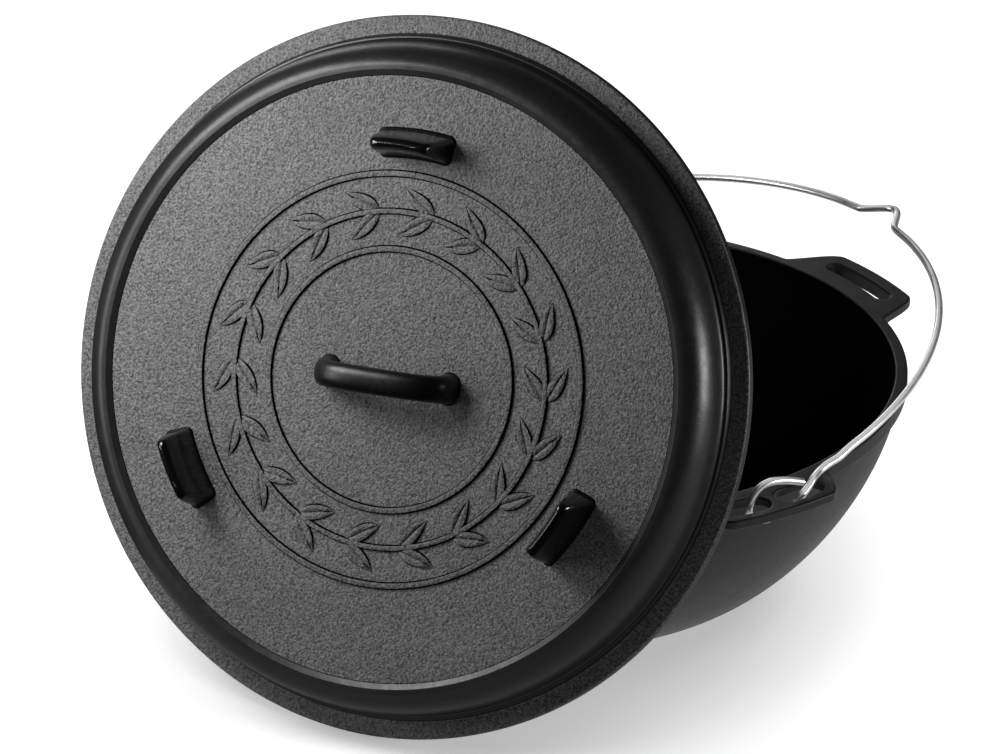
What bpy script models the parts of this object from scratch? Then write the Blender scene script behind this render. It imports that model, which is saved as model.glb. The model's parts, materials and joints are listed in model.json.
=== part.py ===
"""Cast-iron camp cauldron: a wide round pot with four flat lugs, a three-footed lid and a wire bail.

Run with: blender --background --python part.py

Metres, +Z up. The origin is the centre of the pot's flat base, on the floor. +X runs to the rear grip
lug and -Y to the near bail lug. The lid is off: it stands on the floor and leans on the front of the
pot. The bail is folded down towards +X, where its wire rests on the ends of the lug slots.
"""
import math

import bmesh
import bpy
from mathutils import Matrix, Vector

# Pot: a turned bowl with a flat base and a thickened rim
POT_HEIGHT = 0.123
RIM_RADIUS = 0.180
RIM_BAND = 0.0066
RIM_DEPTH = 0.007
RIM_OVERHANG = 0.0027
BASE_RADIUS = 0.077
BASE_THICKNESS = 0.006
WALL = 0.0052
BOWL_CURVE = 1.24
EDGE_ROUND = 0.0012

# Four cast lugs, level with the rim: two grip lugs on the X axis, two bail lugs on the Y axis
LUG_STAND_OUT = 0.024
LUG_THICKNESS = 0.005
LUG_STEP_DOWN = 0.0004
LUG_TIP_HALF_ANGLE = math.radians(8.2)
LUG_ROOT_HALF_ANGLE = math.radians(15.8)
SLOT_FROM_RIM = 0.011
GRIP_SLOT_LENGTH = 0.052
GRIP_SLOT_WIDTH = 0.009
BAIL_SLOT_LENGTH = 0.029
BAIL_SLOT_WIDTH = 0.0145
WEB_WIDTH = 0.0046

# Lid, drawn with its flange's underside at z = 0
LID_OVERHANG = 0.004
FLANGE_THICKNESS = 0.006
FLANGE_WIDTH = 0.0085
FLANGE_STEP = 0.003
STEP_BEVEL = 0.0026
SHOULDER_WIDTH = 0.0260
SHOULDER_ROUND_WIDTH = 0.0085
SHOULDER_ROUND_DEPTH = 0.014
CREST_HEIGHT = 0.034
DISC_RECESS = 0.002
CREST_WIDTH = 0.0046
DISC_BEVEL = 0.0025
LID_WALL = 0.005
LIP_DEPTH = 0.003
LIP_THICKNESS = 0.004
LIP_CLEARANCE = 0.0012

# Cast handle and feet on the lid's disc
HANDLE_LENGTH = 0.0775
HANDLE_HEIGHT = 0.025
HANDLE_WIDTH = 0.0135
HANDLE_THICKNESS = 0.0100
HANDLE_FLARE = 1.24
HANDLE_SQUARENESS = 0.66
FOOT_COUNT = 3
FOOT_FROM_EDGE = 0.0337
FOOT_LENGTH = 0.039
FOOT_WIDTH = 0.0133
FOOT_OVER_HANDLE = 0.001
FOOT_END_TAPER = 0.0035
FOOT_RIDGE_WIDTH = 0.0058
FOOT_CORNER = 0.0024
SINK = 0.0015

# How the lid stands: it leans back against the pot, turned and shifted as somebody left it
LID_LEAN = math.radians(21.3)
LID_BEARING = math.radians(-147.0)
LID_SIDE_SHIFT = -0.0232
LID_SPIN = math.radians(1.8)
LEAN_GAP = 0.0005

# Bail: one steel wire, with an eye round the web of each bail lug
WIRE_DIAMETER = 0.004
BAIL_OVER_LUG = 0.001
BAIL_INSET = 0.007
BAIL_FOLD_ANGLE = math.radians(10.4)
HANG_BUMP_HEIGHT = 0.011
HANG_BUMP_HALF_WIDTH = 0.018
EYE_HALF_LENGTH = 0.0145
EYE_HALF_HEIGHT = 0.0134
# The eye from its cut end over the web, down the left slot, under the web and up the right slot,
# in shares of the half length along the rim and of the half height
EYE_SHAPE = ((1.33, 0.32), (1.02, 0.53), (0.57, 0.79), (0.07, 0.98), (-0.34, 0.98), (-0.70, 0.78),
             (-0.94, 0.43), (-1.00, 0.04), (-0.80, -0.29), (-0.35, -0.48), (0.14, -0.52), (0.59, -0.50),
             (0.94, -0.38), (1.24, -0.20))
# The folded wire from the eye to the arch: it lies on the lug just past the slot's end. In shares of the
# slot's end, the bail's inset and the height at which the wire lies on the lug
LEAD_SHAPE = ((0.765, 0.36, 0.57), (0.925, 0.75, 1.00), (1.13, 1.30, 1.14), (1.33, 1.53, 1.49),
              (1.57, 1.67, 1.78))
WIRE_REST_GAP = 0.0004

POT_SEGMENTS = 72
LID_SEGMENTS = 72


def lug_reach():
    return RIM_RADIUS + LUG_STAND_OUT


def slot_radius():
    """The middle line of every slot, and of the eyes that hang in the bail slots."""
    return RIM_RADIUS + SLOT_FROM_RIM


def lid_radius():
    return RIM_RADIUS + LID_OVERHANG


def crest_radius():
    return lid_radius() - SHOULDER_WIDTH


def disc_radius():
    return crest_radius() - CREST_WIDTH


def bail_reach():
    """The folded bail just passes the tip of the grip lug."""
    return lug_reach() + BAIL_OVER_LUG


def bail_half_width():
    return slot_radius() - BAIL_INSET


def lug_top():
    return POT_HEIGHT - LUG_STEP_DOWN


def hinge_height():
    return lug_top() - LUG_THICKNESS / 2.0


def clear_scene():
    for item in list(bpy.data.objects):
        bpy.data.objects.remove(item, do_unlink=True)


def metal(name, color, roughness, metallic):
    """A plain Principled material."""
    material = bpy.data.materials.new(name)
    material.use_nodes = True
    shader = material.node_tree.nodes["Principled BSDF"]
    shader.inputs["Base Color"].default_value = (*color, 1.0)
    shader.inputs["Roughness"].default_value = roughness
    shader.inputs["Metallic"].default_value = metallic
    material.diffuse_color = (*color, 1.0)
    return material


def add_object(name, data, material=None, parent=None):
    item = bpy.data.objects.new(name, data)
    bpy.context.collection.objects.link(item)
    item.parent = parent
    if material:
        item.data.materials.append(material)
    return item


def mesh_from(bm, name):
    """Turns a bmesh into a mesh with its faces pointing out and its round faces smooth."""
    bmesh.ops.recalc_face_normals(bm, faces=bm.faces)
    mesh = bpy.data.meshes.new(name)
    bm.to_mesh(mesh)
    bm.free()
    mesh.shade_smooth()
    mesh.set_sharp_from_angle(angle=math.radians(30.0))
    return mesh


def turned_mesh(name, profile, segments):
    """A solid of revolution from (radius, height) points that start and end on the axis."""
    bm = bmesh.new()
    verts = [bm.verts.new((radius, 0.0, height)) for radius, height in profile]
    edges = [bm.edges.new(pair) for pair in zip(verts, verts[1:])]
    bmesh.ops.spin(bm, geom=verts + edges, cent=(0, 0, 0), axis=(0, 0, 1), angle=math.tau, steps=segments,
                   use_merge=True)
    bmesh.ops.remove_doubles(bm, verts=bm.verts, dist=1e-6)
    return mesh_from(bm, name)


def prism_mesh(name, outline, bottom, top):
    """A flat plate: the outline as a face, extruded upwards."""
    bm = bmesh.new()
    face = bm.faces.new([bm.verts.new((x, y, bottom)) for x, y in outline])
    extruded = bmesh.ops.extrude_face_region(bm, geom=[face])
    moved = [item for item in extruded["geom"] if isinstance(item, bmesh.types.BMVert)]
    bmesh.ops.translate(bm, verts=moved, vec=(0, 0, top - bottom))
    return mesh_from(bm, name)


def polar(radius, angle):
    return radius * math.cos(angle), radius * math.sin(angle)


def combine(target, tool, operation):
    """A Boolean modifier whose tool stays out of the render and of the build."""
    tool.hide_render = True
    tool.display_type = "WIRE"
    modifier = target.modifiers.new(f"{operation.lower()} {tool.name}", "BOOLEAN")
    modifier.operation = operation
    modifier.object = tool


def bowl_curve(angle, inner_radius, outer_radius, low, high):
    """One point of the bowl's side: flat at the bottom, upright at the top, rounder than a cone."""
    radius = inner_radius + (outer_radius - inner_radius) * math.cos(angle) ** BOWL_CURVE
    height = low + (high - low) * (1.0 - math.sin(angle) ** BOWL_CURVE)
    return radius, height


def pot_profile():
    """Outer side from the base up, over the rim, and down the inside."""
    side_radius = RIM_RADIUS - RIM_OVERHANG
    under_rim = POT_HEIGHT - RIM_DEPTH - RIM_OVERHANG
    share = (POT_HEIGHT - under_rim) / POT_HEIGHT
    top_angle = math.asin(share ** (1.0 / BOWL_CURVE))
    steps = 15
    outside = [bowl_curve(math.pi / 2 + (top_angle - math.pi / 2) * i / steps, BASE_RADIUS, side_radius,
                          0.0, POT_HEIGHT) for i in range(steps + 1)]
    rim = [(RIM_RADIUS, POT_HEIGHT - RIM_DEPTH),
           (RIM_RADIUS, POT_HEIGHT - EDGE_ROUND),
           (RIM_RADIUS - EDGE_ROUND, POT_HEIGHT),
           (RIM_RADIUS - RIM_BAND + EDGE_ROUND, POT_HEIGHT)]
    mouth_top = POT_HEIGHT - EDGE_ROUND
    inside = [bowl_curve(math.pi / 2 * i / steps, BASE_RADIUS - WALL, RIM_RADIUS - RIM_BAND,
                         BASE_THICKNESS, mouth_top) for i in range(steps)]
    inside.append((BASE_RADIUS - WALL, BASE_THICKNESS))
    return [(0.0, 0.0)] + outside + rim + inside + [(0.0, BASE_THICKNESS)]


def lug_outline():
    """A lug's edge, seen from above, about +X: a long tip that flows into the rim on both sides."""
    points = []
    steps = 30
    blend = LUG_ROOT_HALF_ANGLE - LUG_TIP_HALF_ANGLE
    for i in range(steps + 1):
        angle = LUG_ROOT_HALF_ANGLE * (2.0 * i / steps - 1.0)
        t = min(max((LUG_ROOT_HALF_ANGLE - abs(angle)) / blend, 0.0), 1.0)
        fall = t * t * (3.0 - 2.0 * t)
        points.append(polar(RIM_RADIUS + (lug_reach() - RIM_RADIUS) * fall - SINK * (1.0 - fall), angle))
    root = RIM_RADIUS - RIM_BAND / 2
    inner_steps = 10
    for i in range(inner_steps + 1):
        points.append(polar(root, LUG_ROOT_HALF_ANGLE * (1.0 - 2.0 * i / inner_steps)))
    return points


def slot_outline(center_angle, length, width):
    """A slot with round ends, bent to follow the rim."""
    half_angle = (length - width) / 2.0 / slot_radius()
    sides = 10
    ends = 8
    points = []
    for end in (1, -1):
        for i in range(sides + 1):
            angle = center_angle + end * half_angle * (2.0 * i / sides - 1.0)
            points.append(Vector(polar(slot_radius() + end * width / 2.0, angle)))
        tip_angle = center_angle + end * half_angle
        tip = Vector(polar(slot_radius(), tip_angle))
        for i in range(1, ends):
            turn = tip_angle + (0.0 if end > 0 else math.pi) + math.pi * i / ends
            points.append(tip + Vector(polar(width / 2.0, turn)))
    return points


def make_pot(material):
    pot = add_object("pot", turned_mesh("pot", pot_profile(), POT_SEGMENTS), material)
    plate = prism_mesh("lug plate", lug_outline(), lug_top() - LUG_THICKNESS, lug_top())
    deep = lug_top() - 2.0 * LUG_THICKNESS
    high = lug_top() + LUG_THICKNESS
    grip_slot = prism_mesh("grip slot", slot_outline(0.0, GRIP_SLOT_LENGTH, GRIP_SLOT_WIDTH), deep, high)
    offset = (WEB_WIDTH + BAIL_SLOT_LENGTH) / 2.0 / slot_radius()
    bail_slots = [prism_mesh("bail slot", slot_outline(side * offset, BAIL_SLOT_LENGTH, BAIL_SLOT_WIDTH),
                             deep, high) for side in (-1, 1)]
    for quarter in range(4):
        turn = quarter * math.pi / 2.0
        lug = add_object(f"lug tool {quarter}", plate)
        lug.rotation_euler.z = turn
        combine(pot, lug, "UNION")
    for quarter in range(4):
        turn = quarter * math.pi / 2.0
        for index, mesh in enumerate([grip_slot] if quarter % 2 == 0 else bail_slots):
            slot = add_object(f"slot tool {quarter}{index}", mesh)
            slot.rotation_euler.z = turn
            combine(pot, slot, "DIFFERENCE")
    return pot


def lid_step_radius():
    return lid_radius() - FLANGE_WIDTH


def lid_outer_profile():
    """From the rim of the flange over the step, the cove and the round shoulder to the recessed disc."""
    step_top = FLANGE_THICKNESS + FLANGE_STEP
    cove_outer = lid_step_radius() - STEP_BEVEL
    side_radius = crest_radius() + SHOULDER_ROUND_WIDTH
    side_height = CREST_HEIGHT - SHOULDER_ROUND_DEPTH
    points = [(lid_radius() - EDGE_ROUND, 0.0),
              (lid_radius(), EDGE_ROUND),
              (lid_radius(), FLANGE_THICKNESS - EDGE_ROUND),
              (lid_radius() - EDGE_ROUND, FLANGE_THICKNESS),
              (lid_step_radius(), FLANGE_THICKNESS),
              (cove_outer, step_top)]
    cove_steps = 4
    for i in range(1, cove_steps + 1):
        angle = math.pi / 2.0 * (1.0 - i / cove_steps)
        points.append((cove_outer - (cove_outer - side_radius) * math.cos(angle),
                       side_height - (side_height - step_top) * math.sin(angle)))
    round_steps = 6
    for i in range(1, round_steps + 1):
        angle = math.pi / 2.0 * i / round_steps
        points.append((crest_radius() + SHOULDER_ROUND_WIDTH * math.cos(angle),
                       side_height + SHOULDER_ROUND_DEPTH * math.sin(angle)))
    points.append((disc_radius() + DISC_BEVEL, CREST_HEIGHT))
    points.append((disc_radius(), CREST_HEIGHT - DISC_RECESS))
    return points


def lid_inner_profile():
    """From the disc's underside out and down to the locating lip and the flange's seat."""
    roof = CREST_HEIGHT - DISC_RECESS - LID_WALL
    lip_outer = RIM_RADIUS - RIM_BAND - LIP_CLEARANCE
    lip_inner = lip_outer - LIP_THICKNESS
    return [(0.0, roof), (disc_radius() - LID_WALL, roof), (crest_radius() - LID_WALL / 2.0, roof - LID_WALL / 2.0),
            (lip_inner, FLANGE_THICKNESS), (lip_inner, -LIP_DEPTH + EDGE_ROUND), (lip_inner + EDGE_ROUND, -LIP_DEPTH),
            (lip_outer - EDGE_ROUND, -LIP_DEPTH), (lip_outer, -LIP_DEPTH + EDGE_ROUND), (lip_outer, 0.0)]


def disc_top():
    return CREST_HEIGHT - DISC_RECESS


def loft_mesh(name, rings):
    """A closed skin over rings of equal size, with a flat cap on each end."""
    bm = bmesh.new()
    rows = [[bm.verts.new(point) for point in ring] for ring in rings]
    for low, high in zip(rows, rows[1:]):
        for i in range(len(low)):
            j = (i + 1) % len(low)
            bm.faces.new((low[i], low[j], high[j], high[i]))
    bm.faces.new(list(reversed(rows[0])))
    bm.faces.new(rows[-1])
    return mesh_from(bm, name)


def rounded_ring(half_x, half_y, corner, count=3):
    """A rectangle with round corners, as points round its centre."""
    points = []
    for quarter, (sx, sy) in enumerate(((1, 1), (-1, 1), (-1, -1), (1, -1))):
        for i in range(count + 1):
            angle = math.pi / 2.0 * (quarter + i / count)
            points.append((sx * (half_x - corner) + corner * math.cos(angle),
                           sy * (half_y - corner) + corner * math.sin(angle)))
    return points


def handle_mesh():
    """A bow: it rises from one flared root, runs level over the disc and comes down to the other."""
    mid_height = HANDLE_HEIGHT - HANDLE_THICKNESS / 2.0
    half = (HANDLE_LENGTH - HANDLE_THICKNESS * HANDLE_FLARE) / 2.0
    steps = 20
    squareness = HANDLE_SQUARENESS
    rings = []
    for i in range(steps + 1):
        angle = math.pi * i / steps
        x = -half * math.copysign(abs(math.cos(angle)) ** squareness, math.cos(angle))
        z = mid_height * math.sin(angle) ** squareness
        ahead = math.pi * min(i + 0.5, steps) / steps
        behind = math.pi * max(i - 0.5, 0.0) / steps
        dx = -half * (math.copysign(abs(math.cos(ahead)) ** squareness, math.cos(ahead))
                      - math.copysign(abs(math.cos(behind)) ** squareness, math.cos(behind)))
        dz = mid_height * (math.sin(ahead) ** squareness - math.sin(behind) ** squareness)
        tangent = Vector((dx, 0.0, dz)).normalized()
        if i in (0, steps):
            tangent = Vector((0.0, 0.0, 1.0 if i == 0 else -1.0))
        normal = Vector((-tangent.z, 0.0, tangent.x))
        low = 1.0 - z / mid_height
        flare = 1.0 + (HANDLE_FLARE - 1.0) * low ** 2
        ring = rounded_ring(HANDLE_THICKNESS / 2.0 * flare, HANDLE_WIDTH / 2.0 * flare,
                            HANDLE_THICKNESS / 2.0 * 0.94)
        center = Vector((x, 0.0, disc_top() + z - (SINK if i in (0, steps) else 0.0)))
        rings.append([center + normal * a + Vector((0.0, 1.0, 0.0)) * b for a, b in ring])
    return loft_mesh("handle", rings)


def foot_ring(half_width, half_length, corner, level):
    """One level of a foot: a rectangle with round corners, bent along the circle of feet."""
    circle = disc_radius() - FOOT_FROM_EDGE
    corner = min(corner, half_width * 0.95)
    flat = half_length - corner
    outline = []
    for side in (1, -1):
        outline += [(side * half_width, side * flat * share) for share in (-0.6, -0.2, 0.2, 0.6)]
        for i in range(4):
            angle = math.pi / 2.0 * i / 3
            outline.append((side * (half_width - corner + corner * math.cos(angle)),
                            side * (flat + corner * math.sin(angle))))
        for i in range(4):
            angle = math.pi / 2.0 * (1.0 + i / 3)
            outline.append((side * (corner - half_width + corner * math.cos(angle)),
                            side * (flat + corner * math.sin(angle))))
    ring = []
    for x, y in outline:
        turned = Vector(polar(circle + x, y / circle))
        ring.append((turned.x - circle, turned.y, disc_top() + level))
    return ring


def foot_mesh():
    """A foot a little taller than the handle: it narrows to a rounded ridge with sloping ends."""
    height = HANDLE_HEIGHT + FOOT_OVER_HANDLE
    narrowing = (FOOT_WIDTH - FOOT_RIDGE_WIDTH) / 2.0
    rings = []
    for share, narrow, shorten in ((0.0, 0.0, 0.0), (0.35, 0.38, 0.3), (0.72, 0.72, 0.7), (0.88, 1.0, 1.0),
                                   (0.965, 1.32, 1.5), (1.0, 1.62, 2.6)):
        level = height * share if share else -SINK
        rings.append(foot_ring(FOOT_WIDTH / 2.0 - narrowing * narrow, FOOT_LENGTH / 2.0 - FOOT_END_TAPER * shorten,
                               FOOT_CORNER, level))
    return loft_mesh("foot", rings)


def inner_height(radius):
    """Height of the lid's pot side over the flange's seat at a distance from the lid's axis."""
    profile = lid_inner_profile() + [(lid_radius(), 0.0)]
    if radius >= lid_radius():
        return math.inf
    lowest = math.inf
    for (r0, z0), (r1, z1) in zip(profile, profile[1:]):
        if r0 <= radius <= r1:
            share = (radius - r0) / (r1 - r0) if r1 > r0 else 0.0
            lowest = min(lowest, z0 + (z1 - z0) * share)
    return lowest


def lid_matrix(distance):
    """The leaning lid's placement, with its foot at this distance in front of the pot's axis."""
    outward = Vector((math.cos(LID_BEARING), math.sin(LID_BEARING), 0.0))
    normal = outward * math.cos(LID_LEAN) + Vector((0.0, 0.0, math.sin(LID_LEAN)))
    across = Vector((0.0, 0.0, 1.0)).cross(normal).normalized()
    upward = normal.cross(across)
    foot = outward * distance + across * LID_SIDE_SHIFT
    low_edge = lid_radius() - EDGE_ROUND
    center = foot + upward * low_edge
    rotation = Matrix((across, upward, normal)).transposed().to_4x4()
    return Matrix.Translation(center) @ rotation @ Matrix.Rotation(LID_SPIN, 4, "Z")


def lid_distance():
    """Slides the lid in along the floor until it lies against the rim or the front grip lug."""
    points = []
    for i in range(120):
        for height in (POT_HEIGHT, POT_HEIGHT - RIM_DEPTH):
            points.append(Vector((*polar(RIM_RADIUS, math.tau * i / 120), height)))
    for x, y in lug_outline():
        for height in (lug_top(), lug_top() - LUG_THICKNESS):
            for turn in (math.pi, -math.pi / 2.0):
                spot = Matrix.Rotation(turn, 3, "Z") @ Vector((x, y, 0.0))
                points.append(Vector((spot.x, spot.y, height)))

    def overlap(distance):
        inverse = lid_matrix(distance).inverted()
        worst = -math.inf
        for point in points:
            local = inverse @ point
            worst = max(worst, local.z - inner_height(math.hypot(local.x, local.y)))
        return worst + LEAN_GAP

    step = 0.001
    distance = RIM_RADIUS + POT_HEIGHT + lid_radius()
    while overlap(distance - step) < 0.0 and distance > RIM_RADIUS:
        distance -= step
    near, far = distance - step, distance
    for _ in range(20):
        middle = (near + far) / 2.0
        if overlap(middle) < 0.0:
            far = middle
        else:
            near = middle
    return far


def make_lid(material):
    profile = lid_inner_profile() + lid_outer_profile() + [(0.0, disc_top())]
    lid = add_object("lid", turned_mesh("lid", profile, LID_SEGMENTS), material)
    handle = add_object("handle tool", handle_mesh(), parent=lid)
    combine(lid, handle, "UNION")
    mesh = foot_mesh()
    for i in range(FOOT_COUNT):
        angle = math.pi / 2.0 + math.tau * i / FOOT_COUNT
        foot = add_object(f"foot tool {i}", mesh, parent=lid)
        foot.location = (*polar(disc_radius() - FOOT_FROM_EDGE, angle), 0.0)
        foot.rotation_euler.z = angle
        combine(lid, foot, "UNION")
    placed = lid_matrix(lid_distance())
    lowest = min((placed @ vertex.co).z for vertex in lid.data.vertices)
    lid.matrix_world = Matrix.Translation((0.0, 0.0, -lowest)) @ placed
    return lid


def curve_through(points, per_span):
    """A smooth path through points given by hand (Catmull-Rom)."""
    padded = [points[0] * 2 - points[1], *points, points[-1] * 2 - points[-2]]
    path = []
    for a, b, c, d in zip(padded, padded[1:], padded[2:], padded[3:]):
        for i in range(per_span):
            t = i / per_span
            path.append(0.5 * (2 * b + (c - a) * t + (2 * a - 5 * b + 4 * c - d) * t * t
                               + (3 * b - a - 3 * c + d) * t ** 3))
    path.append(points[-1])
    return path


def bail_path():
    """The wire's centre line in the bail's own plane: x is the distance from the hinge axis.

    The wire comes down the arch, bends down into the lug's right slot, goes under the web, up through
    the left slot and back over the web, where it ends beside itself.
    """
    slot_end = WEB_WIDTH / 2.0 + BAIL_SLOT_LENGTH
    eye = [Vector((x * EYE_HALF_LENGTH, slot_radius(), z * EYE_HALF_HEIGHT)) for x, z in EYE_SHAPE]
    rest = LUG_THICKNESS / 2.0 + WIRE_DIAMETER / 2.0 + WIRE_REST_GAP
    lead = []
    for x, y, z in LEAD_SHAPE:
        spot = Matrix.Rotation(-BAIL_FOLD_ANGLE, 2) @ Vector((x * slot_end, z * rest))
        lead.append(Vector((spot.x, slot_radius() - y * BAIL_INSET, spot.y)))
    arch_start = math.asin(slot_end * 1.88 / bail_reach())
    bump_start = math.acos(HANG_BUMP_HALF_WIDTH / bail_half_width())
    angles = [arch_start + (bump_start - arch_start) * i / 14 for i in range(14)]
    angles += [bump_start + (math.pi / 2.0 - bump_start) * i / 5 for i in range(6)]
    arch = []
    for angle in angles:
        side = bail_half_width() * math.cos(angle)
        share = min(side / HANG_BUMP_HALF_WIDTH, 1.0)
        bump = HANG_BUMP_HEIGHT * math.cos(math.pi * share / 2.0) ** 2
        arch.append(Vector((bail_reach() * math.sin(angle) + bump, side, 0.0)))
    half = eye + lead + arch
    other = [Vector((point.x, -point.y, point.z)) for point in reversed(half[:-1])]
    return half + other


def make_bail(material):
    curve = bpy.data.curves.new("bail", "CURVE")
    curve.dimensions = "3D"
    curve.bevel_depth = WIRE_DIAMETER / 2.0
    curve.bevel_resolution = 2
    curve.use_fill_caps = True
    path = curve_through(bail_path(), 2)
    spline = curve.splines.new("POLY")
    spline.points.add(len(path) - 1)
    for point, spot in zip(spline.points, path):
        point.co = (*spot, 1.0)
    bail = add_object("bail", curve, material)
    bail.location = (0.0, 0.0, hinge_height())
    bail.rotation_euler.y = -BAIL_FOLD_ANGLE
    return bail


def main():
    clear_scene()
    make_pot(metal("pot cast iron", (0.035, 0.035, 0.036), 0.55, 0.35))
    make_lid(metal("lid cast iron", (0.045, 0.045, 0.046), 0.55, 0.35))
    make_bail(metal("stainless wire", (0.62, 0.62, 0.63), 0.22, 1.0))


main()
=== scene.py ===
"""A cast-iron camp cauldron with its lid leaning on it: the looks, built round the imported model."""

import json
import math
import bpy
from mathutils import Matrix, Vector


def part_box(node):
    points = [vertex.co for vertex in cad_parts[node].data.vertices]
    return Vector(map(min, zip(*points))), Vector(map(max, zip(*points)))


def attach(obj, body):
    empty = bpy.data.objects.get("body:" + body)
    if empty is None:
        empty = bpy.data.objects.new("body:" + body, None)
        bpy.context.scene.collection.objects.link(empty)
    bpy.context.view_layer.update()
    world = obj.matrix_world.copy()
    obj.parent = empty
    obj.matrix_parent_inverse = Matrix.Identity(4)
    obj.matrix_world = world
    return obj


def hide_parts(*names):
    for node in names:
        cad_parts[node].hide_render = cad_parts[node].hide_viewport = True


bl_info = {
    "name": "Camp cauldron",
    "version": (1, 0, 0),
    "blender": (4, 5, 0),
    "location": "3D View > Sidebar > Cauldron",
    "description": "Builds a cast-iron camp cauldron with its lid, its bail and a studio round them",
    "category": "Add Mesh",
}

import bmesh
import bpy
from bpy.props import FloatProperty, FloatVectorProperty, IntProperty, PointerProperty
from bpy.types import Operator, Panel, PropertyGroup
from mathutils import Matrix, Vector

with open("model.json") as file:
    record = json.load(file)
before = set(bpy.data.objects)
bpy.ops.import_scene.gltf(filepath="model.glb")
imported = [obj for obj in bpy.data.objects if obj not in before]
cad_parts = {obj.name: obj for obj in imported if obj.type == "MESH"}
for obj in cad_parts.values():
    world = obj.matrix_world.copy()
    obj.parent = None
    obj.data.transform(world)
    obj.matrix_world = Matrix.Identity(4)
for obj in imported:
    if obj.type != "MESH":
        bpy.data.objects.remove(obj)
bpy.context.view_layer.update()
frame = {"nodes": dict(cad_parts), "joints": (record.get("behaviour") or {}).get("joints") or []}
POT_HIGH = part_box("pot")[1]
JOINTS = {joint["child"]: joint for joint in frame["joints"]}


def number(name, default, description, **limits):
    return FloatProperty(name=name, description=description, default=default, **limits)


def length(name, default, description):
    return number(name, default, description, min=0.0, precision=5, subtype="DISTANCE", unit="LENGTH")


def angle_size(name, degrees, description):
    return number(name, math.radians(degrees), description, subtype="ANGLE")


def share(name, default, description):
    return number(name, default, description, min=0.0, max=1.0, subtype="FACTOR")


def tint(name, default, description):
    return FloatVectorProperty(name=name, description=description, default=default, size=3,
                               min=0.0, max=1.0, subtype="COLOR")


# ---- Sizes and colours ----

class CauldronPot(PropertyGroup):
    height: length("Height", POT_HIGH.z, "From the floor to the top of the rim")
    rim_radius: length("Rim radius", 0.180, "Outside of the rim")
    rim_band: length("Rim band", 0.0066, "Width of the rim's flat top")
    rim_depth: length("Rim depth", 0.007, "Height of the thickened band")
    rim_overhang: length("Rim overhang", 0.0027, "How far the band stands out past the bowl")
    base_radius: length("Base radius", 0.077, "The flat underside")
    base_thickness: length("Base thickness", 0.006, "Iron under the food")
    wall: length("Wall", 0.0052, "Thickness of the bowl")
    bowl_curve: number("Bowl curve", 1.24, "1 is a plain ellipse, more is flatter", min=0.8, max=2.0)
    edge_round: length("Edge rounding", 0.0012, "Radius of the cast edges")
    lug_stand_out: length("Lug", 0.024, "How far a lug stands out past the rim")
    lug_thickness: length("Lug thickness", 0.005, "Thickness of a lug's plate")
    lug_tip_angle: angle_size("Lug tip", 8.2, "Half of the lug's long tip")
    lug_root_angle: angle_size("Lug root", 15.8, "Half of the lug where it leaves the rim")
    slot_from_rim: length("Slots from rim", 0.011, "The slots' middle line, out from the rim")
    grip_slot_length: length("Grip slot length", 0.052, "Along the rim")
    grip_slot_width: length("Grip slot width", 0.009, "Across the lug")
    grip_collar: length("Grip collar", 0.003, "How far the rim of a grip slot reaches under the lug")
    collar_width: length("Collar width", 0.0028, "Width of that rim")
    bail_slot_length: length("Bail slot length", 0.029, "Along the rim")
    bail_slot_width: length("Bail slot width", 0.0145, "Across the lug")
    web_width: length("Web", 0.0046, "Iron between the two bail slots")
    segments: IntProperty(name="Segments", description="Steps round the bowl", default=216, min=24)


class CauldronLid(PropertyGroup):
    radius: length("Radius", 0.1838, "Outside of the flange")
    spin: angle_size("Spin", 1.8, "The lid's turn on its own axis")
    flange_thickness: length("Flange thickness", 0.006, "The flat rim of the lid")
    step_radius: length("Step radius", 0.1742, "Foot of the small step on the flange")
    step_bevel: length("Step bevel", 0.0013, "How far the step slopes")
    step_height: length("Step height", 0.003, "Rise of the step")
    side_radius: length("Side radius", 0.1706, "Where the shoulder stands upright")
    side_height: length("Side height", 0.0135, "Height of that place over the seat")
    crest_radius: length("Crest radius", 0.1580, "Where the shoulder turns level")
    crest_height: length("Crest height", 0.034, "Top of the shoulder over the seat")
    disc_radius: length("Disc radius", 0.1534, "Edge of the recessed disc")
    disc_bevel: length("Disc bevel", 0.0025, "Slope from the crest down to the disc")
    disc_recess: length("Disc recess", 0.002, "How far the disc lies under the crest")
    wall: length("Wall", 0.005, "Thickness of the disc")
    lip_outer: length("Lip radius", 0.1722, "Outside of the locating lip")
    lip_depth: length("Lip depth", 0.003, "How far the lip reaches under the seat")
    lip_thickness: length("Lip thickness", 0.004, "Thickness of the lip")
    segments: IntProperty(name="Segments", description="Steps round the lid", default=288, min=24)


class CauldronGrips(PropertyGroup):
    handle_length: length("Handle length", 0.0775, "Root to root on the disc")
    handle_height: length("Handle height", 0.025, "Top of the bow over the disc")
    handle_width: length("Handle width", 0.0135, "Across the bow")
    handle_thickness: length("Handle thickness", 0.0100, "Depth of the bow's bar")
    handle_flare: number("Handle flare", 1.17, "Widening at the roots", min=1.0)
    handle_squareness: share("Handle squareness", 0.66, "1 is a half ellipse, less is squarer")
    foot_circle: length("Foot circle", 0.1197, "From the lid's axis to the middle of a foot")
    foot_length: length("Foot length", 0.039, "Along the circle")
    foot_width: length("Foot width", 0.0133, "Across the circle")
    foot_height: length("Foot height", 0.026, "Over the disc")
    foot_corner: length("Foot corner", 0.0024, "Radius of a foot's upright corners")
    foot_end_taper: length("End taper", 0.0035, "How far each end leans in")
    foot_ridge: length("Ridge width", 0.0058, "Width of the foot just under its rounded ridge")
    fillet: length("Fillet", 0.0012, "Radius where the castings meet the disc")


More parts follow.
